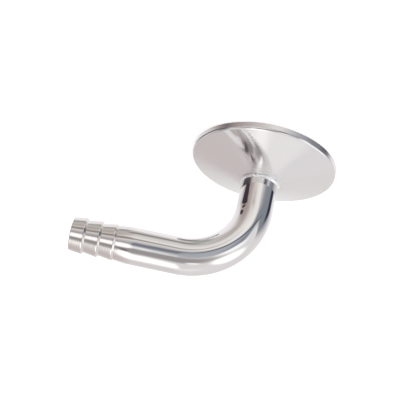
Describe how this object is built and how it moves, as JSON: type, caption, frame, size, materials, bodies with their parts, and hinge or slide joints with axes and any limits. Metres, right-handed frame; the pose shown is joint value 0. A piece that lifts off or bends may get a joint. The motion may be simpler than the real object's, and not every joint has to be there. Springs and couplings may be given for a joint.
{
  "type": "sanitary hose barb elbow",
  "caption": "Polished stainless steel sanitary elbow: a flat clamp ferrule with a welded tube that bends a right angle to a hose barb.",
  "frame": {"origin": "centre of the bore in the plane of the ferrule's sealing face, on which the part stands", "axes": "+Z out of the sealing face up the tube's riser, +X along the horizontal leg towards the barbed tip, XZ the plane of symmetry"},
  "size_m": [0.084, 0.0506, 0.049],
  "materials": {
    "polished_ferrule": "polished",
    "polished_tube": "polished",
    "weld_metal": "satin"
  },
  "bodies": {
    "root": {"clamp_ferrule": "polished_ferrule", "barbed_tube": "polished_tube", "weld_bead": "weld_metal"}
  },
  "joints": []
}
